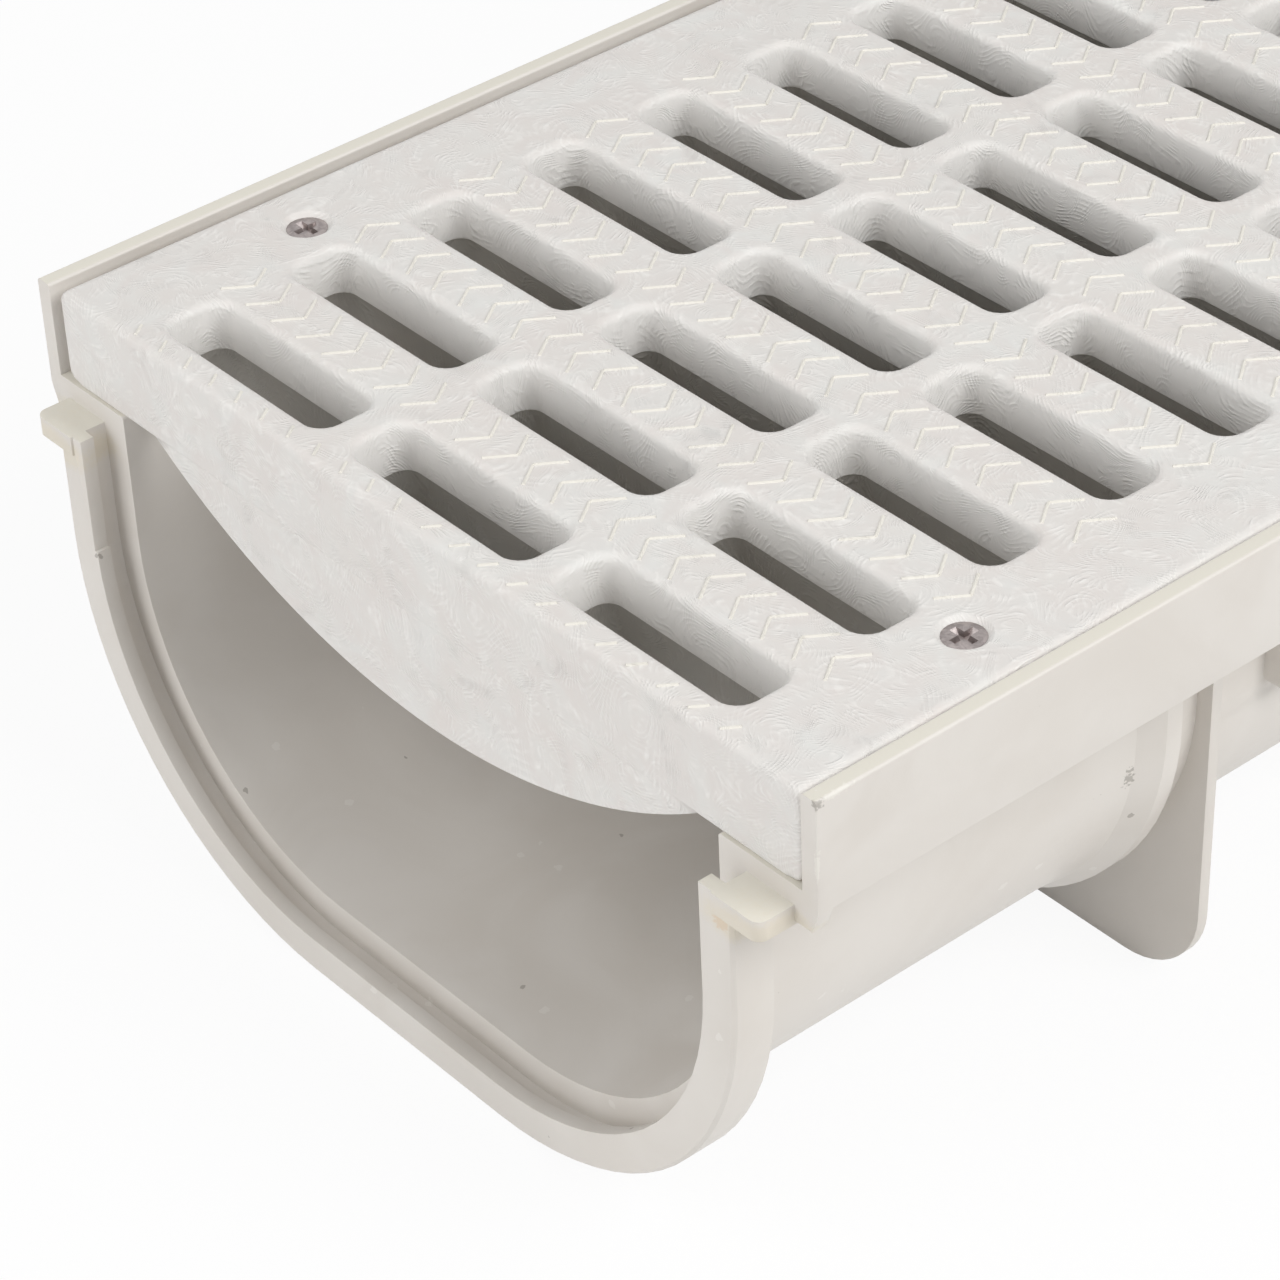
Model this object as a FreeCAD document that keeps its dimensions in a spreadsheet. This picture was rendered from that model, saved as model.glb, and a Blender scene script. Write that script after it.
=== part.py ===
import FreeCAD, Part
import math
import os
import re
import Sketcher

# Channel drain module: a moulded trough with a slotted grate screwed down in it.
# X runs across the channel, Y along it with the jointing collar at -Y, Z up.
# The origin is on the ground, under the middle of the whole module, collar included.

SIZES = [
    # rims and ledges
    ("moduleLength", 496, "length of the rims"),
    ("rimWidth", 200, "width over both rims"),
    ("overallHeight", 106.4, "ground to rim top"),
    ("rimWall", 3.4, "thickness of an upright rim"),
    ("rimDepth", 21.2, "rim top to rim underside"),
    ("ledgeDepth", 18.4, "rim top to the ledge that carries the grate"),
    ("ledgeThickness", 3.8, "thickness of the ledge"),
    ("edgeRadius", 0.6, "rounding of the moulded edges"),
    ("pastFace", 1, "how far a cut runs past the face it opens"),
    # trough
    ("ledgeReach", 18.8, "ledge, from the rim to the trough"),
    ("troughDepth", 96, "rim top to trough floor"),
    ("troughRadius", 52, "lower corners of the trough, inside"),
    ("troughWall", 2.7, "wall of the trough"),
    # jointing collar at the near end
    ("collarLength", 6.8, "collar in front of the rims"),
    ("collarBuild", 10.4, "trough face to the collar's outside"),
    ("ringInset", 3.0, "trough face to the front ring's inside"),
    ("ringLength", 2.7, "front ring, along the channel"),
    ("grooveBuild", 6.2, "trough face to the bottom of the groove"),
    ("collarWeb", 1.2, "web between trough and collar"),
    ("reliefDepth", 0.7, "left leg of the front ring set back above its shoulder"),
    ("shoulderDepth", 45, "rim top to the shoulder of the front ring"),
    ("webDrop", 4.0, "rim to the foot of the web behind a lug"),
    ("webThickness", 3.0, "web behind a lug, along the channel"),
    ("webSlope", 1.4, "sloped outer side of the web"),
    ("lugShort", 5.3, "outside of the rims to the end of a jointing lug"),
    ("lugThickness", 3.8, "thickness of a jointing lug"),
    ("lugProud", 0.4, "lug in front of the collar's face"),
    ("lugRadius", 2.0, "outer corner of a lug"),
    # hoops, feet and side pads
    ("hoopPlace", 89.8, "channel end to the face of a hoop"),
    ("hoopThickness", 3.5, "hoop, along the channel"),
    ("hoopBuild", 6.7, "trough face to the hoop's outside"),
    ("hoopFlare", 9, "flare that leads up to the hoop"),
    ("flareBend", 3.6, "steep end of the flare"),
    ("flareRise", 0.7, "height of the flare at its half-way bend"),
    ("footPlace", 101, "channel end to the face of a foot plate"),
    ("footThickness", 2.3, "foot plate, along the channel"),
    ("footBuild", 6.5, "trough face to a foot plate's side, under the ledges"),
    ("footTaper", 1.8, "how far a foot plate's side leans in at the ground"),
    ("footRadius", 17, "lower corners of a foot plate"),
    ("padPlace", 117, "channel end to a side pad"),
    ("padLength", 30, "side pad, along the channel"),
    ("padDrop", 50, "rim top to the lower edge of a side pad"),
    ("padBuild", 6.4, "trough face to the outside of a side pad"),
    ("padRadius", 3, "lower corners of a side pad"),
    # screws and screw bosses
    ("screwInset", 16.9, "outside of the rims to the screws"),
    ("screwPlace", 44.7, "channel end to the screws"),
    ("screwHead", 7.5, "diameter of the screw head"),
    ("screwShank", 3.9, "diameter of the screw shank"),
    ("screwLength", 29, "length of the screw over all"),
    ("recessSpan", 4.3, "cross recess, tip to tip"),
    ("recessWing", 1.1, "width of a wing of the cross recess"),
    ("recessDepth", 1.5, "depth of the cross recess"),
    ("bossWidth", 9.2, "diameter of a screw boss"),
    ("bossDrop", 32.4, "rim top to the underside of a screw boss"),
    ("pilotDrop", 31, "rim top to the bottom of the hole in a boss"),
    ("pilotFit", 0.04, "how much wider the boss's hole is than the shank"),
    # grate
    ("grateGap", 2.6, "play of the grate between the rims, both sides together"),
    ("grateShift", 0.9, "how far the grate is set over to one side"),
    ("grateSet", 0.3, "grate face below the rim top"),
    ("grateEndGap", 0.3, "grate short of the rims at each end"),
    ("grateRadius", 1.6, "rounded upper edges of the grate"),
    ("grateFoot", 3, "rounded lower long edges of the grate"),
    ("bellyGap", 6.3, "trough face to the belly where it leaves the flanges"),
    ("bellyDepth", 21.9, "belly below the flanges"),
    ("slotColumns", 3, "slots across the grate"),
    ("slotRows", 19, "slots along the grate"),
    ("slotMargin", 22.3, "side of the grate to the first slot's waist"),
    ("slotBar", 8.5, "bar between two slots' waists, across"),
    ("slotWidth", 11, "width of a slot at its waist"),
    ("slotRadius", 3, "corners of a slot at its waist"),
    ("waistDepth", 8.8, "grate face to the waist of a slot"),
    ("upperLean", 0.4, "lean of a slot's walls from waist to face"),
    ("lowerLean", 1.9, "lean of a slot's walls from waist to underside"),
    ("sinkWidth", 9.0, "countersink at the grate face"),
    ("clearHole", 4.6, "hole for a screw through the grate"),
]

doc = FreeCAD.newDocument("channelDrain")
sheet = doc.addObject("Spreadsheet::Sheet", "sizes")
for row, (alias, number, meaning) in enumerate(SIZES, start=1):
    sheet.set("A%d" % row, meaning)
    sheet.set("B%d" % row, str(number))
    sheet.setAlias("B%d" % row, alias)
doc.recompute()

# heights and distances worked out from the sizes above
troughWidth = "(rimWidth - 2 * rimWall - 2 * ledgeReach)"
grateWidth = "(rimWidth - 2 * rimWall - grateGap)"
bellyWidth = "(rimWidth - 2 * rimWall - 2 * ledgeReach - 2 * bellyGap)"
slotLength = "((%s - 2 * slotMargin - (slotColumns - 1) * slotBar) / slotColumns)" % grateWidth
slotPitch = "(%s + slotBar)" % slotLength
ledgeTop = "(overallHeight - ledgeDepth)"
ledgeUnder = "(overallHeight - ledgeDepth - ledgeThickness)"
rimUnder = "(overallHeight - rimDepth)"
troughFloor = "(overallHeight - troughDepth)"
channelEnd = "(moduleLength / 2)"
grateFace = "(overallHeight - grateSet)"
slotStep = "(moduleLength / slotRows)"
screwAcross = "(rimWidth / 2 - screwInset)"
screwAlong = "(moduleLength / 2 - screwPlace)"
headSink = "((sinkWidth - screwHead) / 2)"
moduleShift = "((collarLength + lugProud) / 2)"


def linked(expression):
    # the expression as other objects of the document read it
    return re.sub(r"[A-Za-z]\w*", lambda word: "sizes." + word.group(0), expression)


def sized(expression):
    # the expression's value now, in millimetres
    return float(sheet.evalExpression(expression))


def bind(item, **expressions):
    for name, expression in expressions.items():
        item.setExpression(name, linked(expression))


# ---- sketches: an outline is a list of corners (across, up[, radius]) ----

def newSketch(body, name, role, lift="0"):
    sketch = body.newObject("Sketcher::SketchObject", name)
    plane = [f for f in body.Origin.OriginFeatures if f.Role == role][0]
    sketch.AttachmentSupport = [(plane, "")]
    sketch.MapMode = "FlatFace"
    sketch.setExpression("AttachmentOffset.Base.z", linked(lift))
    return sketch


def holdPoint(constraints, dimensions, geometry, end, corner):
    # a point's two distances from the sketch's origin follow the sheet
    for kind, expression in (("DistanceX", corner[0]), ("DistanceY", corner[1])):
        dimensions.append((len(constraints), expression))
        constraints.append(Sketcher.Constraint(kind, -1, 1, geometry, end, sized(expression)))


def drawOutline(sketch, corners, closed=True):
    count = len(corners)
    points = [FreeCAD.Vector(sized(c[0]), sized(c[1]), 0) for c in corners]
    sides = count if closed else count - 1
    starts = list(points)
    ends = [points[(i + 1) % count] for i in range(count)]
    bends = {}
    for i, corner in enumerate(corners):
        if len(corner) < 3:
            continue
        back = (points[i - 1] - points[i]).normalize()
        ahead = (points[(i + 1) % count] - points[i]).normalize()
        radius = sized(corner[2])
        half = back.getAngle(ahead) / 2
        centre = points[i] + (back + ahead).normalize() * (radius / math.sin(half))
        starts[i] = points[i] + ahead * (radius / math.tan(half))
        ends[i - 1] = points[i] + back * (radius / math.tan(half))
        bends[i] = (centre, radius, back.cross(ahead).z < 0)
    lines = []
    for i in range(sides):
        lines.append(sketch.addGeometry(Part.LineSegment(starts[i], ends[i]), False))
    constraints = []
    dimensions = []
    for i, corner in enumerate(corners):
        inner = closed or 0 < i < count - 1
        if i in bends:
            centre, radius, leftTurn = bends[i]
            first, last = (ends[i - 1], starts[i]) if leftTurn else (starts[i], ends[i - 1])
            angles = [math.atan2(p.y - centre.y, p.x - centre.x) for p in (first, last)]
            circle = Part.Circle(centre, FreeCAD.Vector(0, 0, 1), radius)
            arc = sketch.addGeometry(Part.ArcOfCircle(circle, angles[0], angles[1]), False)
            mark = sketch.addGeometry(Part.Point(points[i]), True)
            enter, leave = (1, 2) if leftTurn else (2, 1)
            holdPoint(constraints, dimensions, mark, 1, corner)
            constraints.append(Sketcher.Constraint("PointOnObject", mark, 1, lines[i - 1]))
            constraints.append(Sketcher.Constraint("PointOnObject", mark, 1, lines[i]))
            constraints.append(Sketcher.Constraint("Tangent", lines[i - 1], 2, arc, enter))
            constraints.append(Sketcher.Constraint("Tangent", arc, leave, lines[i], 1))
            dimensions.append((len(constraints), corner[2]))
            constraints.append(Sketcher.Constraint("Radius", arc, radius))
        elif i < sides:
            holdPoint(constraints, dimensions, lines[i], 1, corner)
            if inner:
                constraints.append(Sketcher.Constraint("Coincident", lines[i - 1], 2, lines[i], 1))
        else:
            holdPoint(constraints, dimensions, lines[i - 1], 2, corner)
    base = sketch.ConstraintCount
    sketch.addConstraint(constraints)
    for index, expression in dimensions:
        sketch.setExpression("Constraints[%d]" % (base + index), linked(expression))


def drawCircle(sketch, across, along, width):
    centre = FreeCAD.Vector(sized(across), sized(along), 0)
    circle = sketch.addGeometry(Part.Circle(centre, FreeCAD.Vector(0, 0, 1), sized(width) / 2), False)
    constraints = []
    dimensions = []
    holdPoint(constraints, dimensions, circle, 3, (across, along))
    dimensions.append((len(constraints), width))
    constraints.append(Sketcher.Constraint("Diameter", circle, sized(width)))
    base = sketch.ConstraintCount
    sketch.addConstraint(constraints)
    for index, expression in dimensions:
        sketch.setExpression("Constraints[%d]" % (base + index), linked(expression))


def mirrored(corners):
    # the same corners on the other side of the centre line, in reverse order
    return [("-(" + c[0] + ")",) + tuple(c[1:]) for c in reversed(corners)]


def bothSides(corners):
    # a closed outline from its right-hand half, listed from bottom to top
    return corners + mirrored(corners)


# ---- features ----

def pad(body, name, sketch, length, reverse=False, midplane=False):
    feature = body.newObject("PartDesign::Pad", name)
    feature.Profile = sketch
    feature.Reversed = reverse
    feature.Midplane = midplane
    feature.Refine = False
    bind(feature, Length=length)
    return feature


def pocket(body, name, sketch, length):
    feature = body.newObject("PartDesign::Pocket", name)
    feature.Profile = sketch
    feature.Refine = False
    bind(feature, Length=length)
    return feature


def pipe(body, name, profile, path):
    feature = body.newObject("PartDesign::AdditivePipe", name)
    feature.Profile = profile
    feature.Spine = path
    feature.Refine = False
    return feature


def originAxis(body, role):
    return ([f for f in body.Origin.OriginFeatures if f.Role == role][0], [""])


def mirror(body, name, features, role):
    feature = body.newObject("PartDesign::Mirrored", name)
    feature.Originals = features
    feature.MirrorPlane = originAxis(body, role)
    feature.Refine = False
    body.Tip = feature
    return feature


def row(body, name, role, count, step):
    feature = body.newObject("PartDesign::LinearPattern", name)
    feature.Direction = originAxis(body, role)
    feature.Mode = "Spacing"
    bind(feature, Occurrences=count, Offset=step)
    return feature


def grid(body, name, features, columns, columnStep, rows, rowStep):
    feature = body.newObject("PartDesign::MultiTransform", name)
    feature.Originals = features
    feature.Transformations = [
        row(body, name + "Across", "X_Axis", columns, columnStep),
        row(body, name + "Along", "Y_Axis", rows, rowStep),
    ]
    feature.Refine = False
    body.Tip = feature
    return feature


# ---- the channel: rims, ledges and trough in one moulding ----

def troughSide(build):
    return "(%s / 2 + %s)" % (troughWidth, build)


def troughBase(build):
    return "(%s - (%s))" % (troughFloor, build)


def troughCorner(build):
    return "(troughRadius + %s)" % build


def channelSection(body):
    rimInside = "rimWidth / 2 - rimWall"
    outside = [
        (troughSide("troughWall"), troughBase("troughWall"), troughCorner("troughWall")),
        (troughSide("troughWall"), ledgeUnder),
        (rimInside, ledgeUnder),
        (rimInside, rimUnder),
        ("rimWidth / 2", rimUnder),
        ("rimWidth / 2", "overallHeight", "edgeRadius"),
        (rimInside, "overallHeight", "edgeRadius"),
        (rimInside, ledgeTop),
        (troughSide("0"), ledgeTop, "edgeRadius"),
        (troughSide("0"), troughFloor, "troughRadius"),
    ]
    sketch = newSketch(body, "sectionOutline", "XZ_Plane")
    drawOutline(sketch, bothSides(outside))
    return pad(body, "section", sketch, "moduleLength", midplane=True)


def troughPath(body):
    # the line of the trough's inner face, from ledge to ledge
    path = newSketch(body, "troughPath", "XZ_Plane", channelEnd)
    side = [(troughSide("0"), troughFloor, "troughRadius"), (troughSide("0"), ledgeUnder)]
    drawOutline(path, mirrored(side) + side, closed=False)
    return path


def roundTrough(body, name, outline):
    # a rib's or collar's section, (build, along), swept round the trough
    profile = newSketch(body, name + "Profile", "XY_Plane", ledgeUnder)
    drawOutline(profile, [("-" + troughSide(c[0]), c[1]) + tuple(c[2:]) for c in outline])
    return pipe(body, name, profile, troughPath(body))


def jointingCollar(body):
    face = "-(%s) - collarLength" % channelEnd
    ringBack = "-(%s) - collarLength + ringLength" % channelEnd
    end = "-(%s)" % channelEnd
    inWall = "troughWall / 2"
    roundTrough(body, "collar", [
        ("ringInset", ringBack),
        ("grooveBuild", ringBack),
        ("grooveBuild", end),
        (inWall, end),
        (inWall, end + " + collarWeb"),
        ("collarBuild", end + " + collarWeb"),
        ("collarBuild", face + " + edgeRadius"),
        ("collarBuild - edgeRadius", face),
        ("ringInset", face),
    ])


def ringRelief(body):
    # above its shoulder the left leg of the front ring is thinner on the inside
    sketch = newSketch(body, "reliefOutline", "XZ_Plane", "%s + collarLength - ringLength" % channelEnd)
    inner = troughSide("(ringInset - pastFace)")
    outer = troughSide("(ringInset + reliefDepth)")
    shoulder = "overallHeight - shoulderDepth"
    above = ledgeUnder + " + pastFace"
    drawOutline(sketch, mirrored([(inner, shoulder), (outer, shoulder), (outer, above), (inner, above)]))
    pocket(body, "relief", sketch, "ringLength + pastFace").Reversed = True


def jointingLugs(body):
    sketch = newSketch(body, "lugOutline", "XY_Plane", ledgeUnder)
    inside = troughSide("grooveBuild")
    face = "-(%s) - collarLength - lugProud" % channelEnd
    back = "-(%s) + collarWeb" % channelEnd
    reach = "rimWidth / 2 - lugShort"
    corners = [(inside, back), (inside, face), (reach, face, "lugRadius"), (reach, back)]
    drawOutline(sketch, corners)
    drawOutline(sketch, mirrored(corners))
    pad(body, "lugs", sketch, "lugThickness", reverse=True)


def rimWebs(body):
    # a thin web closes the corner between collar, ledge and rim
    sketch = newSketch(body, "webOutline", "XZ_Plane", channelEnd)
    foot = rimUnder + " - webDrop"
    inside = troughSide("grooveBuild")
    corners = [
        (inside, ledgeUnder),
        (inside, foot),
        ("rimWidth / 2 - webSlope", foot),
        ("rimWidth / 2", rimUnder),
        ("rimWidth / 2 - rimWall", rimUnder),
        ("rimWidth / 2 - rimWall", ledgeUnder),
    ]
    drawOutline(sketch, corners)
    drawOutline(sketch, mirrored(corners))
    pad(body, "webs", sketch, "webThickness", reverse=True)


def hoop(body):
    face = "-(%s) + hoopPlace" % channelEnd
    bend = face + " - flareBend"
    start = face + " - hoopFlare"
    back = face + " + hoopThickness"
    inWall = "troughWall / 2"
    rise = "troughWall + flareRise"
    return roundTrough(body, "hoop", [
        (inWall, start),
        (inWall, back),
        ("hoopBuild", back),
        ("hoopBuild", face),
        (rise, bend),
        ("troughWall", start),
    ])


def footPlate(body):
    sketch = newSketch(body, "footOutline", "XZ_Plane", "%s - footPlace" % channelEnd)
    inWall = "troughWall / 2"
    drawOutline(sketch, bothSides([
        (troughSide("footBuild - footTaper"), "0", "footRadius"),
        (troughSide("footBuild"), ledgeUnder),
        (troughSide(inWall), ledgeUnder),
        (troughSide(inWall), troughBase(inWall), troughCorner(inWall)),
    ]))
    return pad(body, "foot", sketch, "footThickness", reverse=True)


def sidePads(body):
    pads = []
    start = "-(%s) + padPlace" % channelEnd
    for side, sign in (("Right", ""), ("Left", "-")):
        sketch = newSketch(body, "padOutline" + side, "YZ_Plane", sign + troughSide("troughWall / 2"))
        lower = "overallHeight - padDrop"
        drawOutline(sketch, [
            (start, ledgeUnder),
            (start, lower, "padRadius"),
            (start + " + padLength", lower, "padRadius"),
            (start + " + padLength", ledgeUnder),
        ])
        pads.append(pad(body, "pad" + side, sketch, "padBuild - troughWall / 2", reverse=sign == "-"))
    return pads


def screwBosses(body):
    sketch = newSketch(body, "bossOutline", "XY_Plane", ledgeUnder)
    for sign in ("", "-"):
        drawCircle(sketch, sign + screwAcross + " + grateShift", "-" + screwAlong, "bossWidth")
    return pad(body, "bosses", sketch, "bossDrop - ledgeDepth - ledgeThickness", reverse=True)


def pilotHoles(body):
    sketch = newSketch(body, "pilotOutline", "XY_Plane", ledgeTop)
    for sign in ("", "-"):
        drawCircle(sketch, sign + screwAcross + " + grateShift", "-" + screwAlong, "screwShank + pilotFit")
    return pocket(body, "pilots", sketch, "pilotDrop - ledgeDepth")


def makeChannel():
    body = doc.addObject("PartDesign::Body", "channel")
    channelSection(body)
    jointingCollar(body)
    ringRelief(body)
    jointingLugs(body)
    rimWebs(body)
    ribs = [hoop(body), footPlate(body)] + sidePads(body) + [screwBosses(body)]
    mirror(body, "farRibs", ribs, "XZ_Plane")
    mirror(body, "farPilots", [pilotHoles(body)], "XZ_Plane")
    bind(body, **{"Placement.Base.y": moduleShift})
    return body


# ---- the grate ----

def grateBlock(body):
    sketch = newSketch(body, "flangeOutline", "XZ_Plane")
    side = grateWidth + " / 2"
    drawOutline(sketch, bothSides([(side, ledgeTop, "grateFoot"), (side, grateFace)]))
    pad(body, "flange", sketch, "moduleLength - 2 * grateEndGap", midplane=True)
    return bellyPad(body)


def bellyPad(body):
    # the belly is a slice of a cylinder that starts a little inside the flange
    sketch = newSketch(body, "bellyOutline", "XZ_Plane")
    side = bellyWidth + " / 2"
    radius = "((%s) ^ 2 + bellyDepth ^ 2) / (2 * bellyDepth)" % side
    lowest = ledgeTop + " - bellyDepth"
    top = sized(ledgeTop)
    half = sized(side)
    right, left = FreeCAD.Vector(half, top, 0), FreeCAD.Vector(-half, top, 0)
    across = sketch.addGeometry(Part.LineSegment(right, left), False)
    low = FreeCAD.Vector(0, sized(lowest), 0)
    arc = sketch.addGeometry(Part.Arc(left, low, right), False)
    constraints = []
    dimensions = []
    holdPoint(constraints, dimensions, across, 1, (side, ledgeTop))
    holdPoint(constraints, dimensions, across, 2, ("-" + side, ledgeTop))
    constraints.append(Sketcher.Constraint("Coincident", arc, 1, across, 2))
    constraints.append(Sketcher.Constraint("Coincident", arc, 2, across, 1))
    dimensions.append((len(constraints), radius))
    constraints.append(Sketcher.Constraint("Radius", arc, sized(radius)))
    sketch.addConstraint(constraints)
    for index, expression in dimensions:
        sketch.setExpression("Constraints[%d]" % index, linked(expression))
    return pad(body, "belly", sketch, "moduleLength - 2 * grateEndGap", midplane=True)


def slotSection(body, name, depth, spread):
    # a slot's outline at a depth, wider than the waist by spread on each side,
    # with each corner in two chords
    sketch = newSketch(body, name, "XY_Plane", "%s - (%s)" % (grateFace, depth))
    middle = ("-%s * (slotColumns - 1) / 2" % slotPitch, "-%s * (slotRows - 1) / 2" % slotStep)
    reach = ("(%s / 2 - slotRadius)" % slotLength, "(slotWidth / 2 - slotRadius)")
    radius = "(slotRadius + %s)" % spread
    corners = []
    for quarter, signs in enumerate([("+", "+"), ("-", "+"), ("-", "-"), ("+", "-")]):
        for chord in range(3):
            angle = math.radians(90 * quarter + 45 * chord)
            turn = (math.cos(angle), math.sin(angle))
            corners.append(tuple(
                "%s %s %s + %s * (%.5f)" % (middle[i], signs[i], reach[i], radius, turn[i]) for i in range(2)
            ))
    drawOutline(sketch, corners)
    return sketch


def slot(body):
    # the walls lean in from the face to a waist, and out again to the underside
    sections = [
        slotSection(body, "slotFace", "0", "upperLean"),
        slotSection(body, "slotWaist", "waistDepth", "0"),
        slotSection(body, "slotFoot", "ledgeDepth + bellyDepth", "lowerLean"),
    ]
    feature = body.newObject("PartDesign::SubtractiveLoft", "slot")
    feature.Profile = sections[0]
    feature.Sections = sections[1:]
    feature.Ruled = True
    feature.Refine = False
    return feature


def softenGrate(body, block):
    # the loop of edges round the face
    doc.recompute()
    top = sized(grateFace)
    face = []
    for i, edge in enumerate(block.Shape.Edges, start=1):
        if edge.BoundBox.ZMin > top - 0.01:
            face.append("Edge%d" % i)
    loop = body.newObject("PartDesign::Fillet", "faceEdges")
    loop.Base = (block, face)
    bind(loop, Radius="grateRadius")
    body.Tip = loop


def screwHoles(body):
    # countersink and clearance hole, one groove and its three copies
    sketch = newSketch(body, "sinkOutline", "XZ_Plane", screwAlong)
    axis = "-" + screwAcross
    cone = "(sinkWidth - clearHole) / 2"
    drawOutline(sketch, [
        (axis, grateFace),
        (axis, ledgeTop + " - pastFace"),
        (axis + " + clearHole / 2", ledgeTop + " - pastFace"),
        (axis + " + clearHole / 2", grateFace + " - " + cone),
        (axis + " + sinkWidth / 2", grateFace),
    ])
    feature = body.newObject("PartDesign::Groove", "screwHole")
    feature.Profile = sketch
    feature.ReferenceAxis = (sketch, ["Edge1"])
    feature.Angle = 360
    feature.Refine = False
    grid(body, "screwHoles", [feature], "2", "2 * " + screwAcross, "2", "2 * " + screwAlong)


def makeGrate():
    body = doc.addObject("PartDesign::Body", "grate")
    block = grateBlock(body)
    softenGrate(body, block)
    screwHoles(body)
    grid(body, "slots", [slot(body)], "slotColumns", slotPitch, "slotRows", slotStep)
    bind(body, **{"Placement.Base.x": "grateShift", "Placement.Base.y": moduleShift})
    return body


# ---- the screws: countersunk, cross recess, driven into the bosses ----

def makeScrew(name, acrossSign, alongSign):
    body = doc.addObject("PartDesign::Body", name)
    sketch = newSketch(body, name + "Outline", "XZ_Plane")
    drawOutline(sketch, [
        ("0", "0"),
        ("0", "-screwLength"),
        ("screwShank / 2", "-screwLength"),
        ("screwShank / 2", "-(screwHead - screwShank) / 2"),
        ("screwHead / 2", "0"),
    ])
    turned = body.newObject("PartDesign::Revolution", name + "Turned")
    turned.Profile = sketch
    turned.ReferenceAxis = originAxis(body, "Z_Axis")
    turned.Angle = 360
    cross = newSketch(body, name + "Cross", "XY_Plane")
    tip = "recessSpan / 2"
    wing = "recessWing / 2"
    drawOutline(cross, [
        (tip, wing), (wing, wing), (wing, tip), ("-" + wing, tip), ("-" + wing, wing), ("-" + tip, wing),
        ("-" + tip, "-" + wing), ("-" + wing, "-" + wing), ("-" + wing, "-" + tip),
        (wing, "-" + tip), (wing, "-" + wing), (tip, "-" + wing),
    ])
    pocket(body, name + "Recess", cross, "recessDepth")
    bind(body, **{
        "Placement.Base.x": acrossSign + screwAcross + " + grateShift",
        "Placement.Base.y": alongSign + screwAlong + " + " + moduleShift,
        "Placement.Base.z": grateFace + " - " + headSink,
    })
    return body


nodes = [makeChannel(), makeGrate()]
for end, alongSign in (("near", "-"), ("far", "")):
    for side, acrossSign in (("left", "-"), ("right", "")):
        nodes.append(makeScrew("screw_%s_%s" % (end, side), acrossSign, alongSign))
doc.recompute()

troubles = [item.Name for item in doc.Objects if {"Invalid", "Error"} & set(item.State)]
for node in nodes:
    if node.Shape.isNull() or not node.Shape.isValid() or len(node.Shape.Solids) != 1:
        troubles.append(node.Label + " has no single valid solid")
if troubles:
    raise RuntimeError("failed: " + ", ".join(troubles))

os.makedirs("parts", exist_ok=True)
for node in nodes:
    node.Shape.exportStep("parts/%s.step" % node.Label)
    box = node.Shape.BoundBox
    print("%s volume %.0f mm3, faces %d, X %.2f..%.2f Y %.2f..%.2f Z %.2f..%.2f" % (
        node.Label, node.Shape.Volume, len(node.Shape.Faces),
        box.XMin, box.XMax, box.YMin, box.YMax, box.ZMin, box.ZMax))
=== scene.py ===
import math

import bmesh
import bpy
from mathutils import Matrix, Vector


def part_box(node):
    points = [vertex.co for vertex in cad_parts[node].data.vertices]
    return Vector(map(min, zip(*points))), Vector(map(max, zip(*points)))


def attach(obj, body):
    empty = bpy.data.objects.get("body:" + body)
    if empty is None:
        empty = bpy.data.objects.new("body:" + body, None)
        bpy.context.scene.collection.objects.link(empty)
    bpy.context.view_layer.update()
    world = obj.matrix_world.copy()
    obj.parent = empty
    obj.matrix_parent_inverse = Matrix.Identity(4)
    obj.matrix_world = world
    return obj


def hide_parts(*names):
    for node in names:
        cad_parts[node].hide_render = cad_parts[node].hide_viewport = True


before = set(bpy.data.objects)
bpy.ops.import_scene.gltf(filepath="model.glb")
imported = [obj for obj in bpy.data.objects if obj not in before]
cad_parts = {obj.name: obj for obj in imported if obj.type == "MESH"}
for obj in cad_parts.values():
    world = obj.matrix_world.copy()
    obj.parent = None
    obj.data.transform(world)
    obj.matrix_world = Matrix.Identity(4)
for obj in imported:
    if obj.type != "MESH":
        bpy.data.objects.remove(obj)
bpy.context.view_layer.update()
scene = bpy.context.scene
mm = 0.001
weld = 0.002 * mm   # points nearer than this are one
tiny = 0.01 * mm
screwNodes = ("screw_near_left", "screw_near_right", "screw_far_left", "screw_far_right")


# small helpers for shader nodes

def newGroup(name, inputs, outputs):
    group = bpy.data.node_groups.new(name, "ShaderNodeTree")
    for kind, label in inputs:
        group.interface.new_socket(name=label, in_out="INPUT", socket_type=kind)
    for kind, label in outputs:
        group.interface.new_socket(name=label, in_out="OUTPUT", socket_type=kind)
    enter = group.nodes.new("NodeGroupInput")
    leave = group.nodes.new("NodeGroupOutput")
    return group, enter, leave


def addNode(tree, kind, settings=None, values=None):
    node = tree.nodes.new(kind)
    for name, setting in (settings or {}).items():
        setattr(node, name, setting)
    for socket, value in (values or {}).items():
        if hasattr(value, "is_linked"):
            tree.links.new(value, node.inputs[socket])
        else:
            node.inputs[socket].default_value = value
    return node


def addNoise(tree, place, scale, detail, more=None):
    values = {"Vector": place, "Scale": scale, "Detail": detail, **(more or {})}
    return addNode(tree, "ShaderNodeTexNoise", None, values)


def addMath(tree, operation, first, second=0.0, clamp=False):
    settings = {"operation": operation, "use_clamp": clamp}
    return addNode(tree, "ShaderNodeMath", settings, {0: first, 1: second}).outputs[0]


def addVectorMath(tree, operation, values, output="Vector"):
    return addNode(tree, "ShaderNodeVectorMath", {"operation": operation}, values).outputs[output]


def remap(tree, value, low, high, to=(0.0, 1.0)):
    values = {"Value": value, "From Min": low, "From Max": high, "To Min": to[0], "To Max": to[1]}
    settings = {"interpolation_type": "SMOOTHSTEP"}
    return addNode(tree, "ShaderNodeMapRange", settings, values).outputs["Result"]


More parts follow.
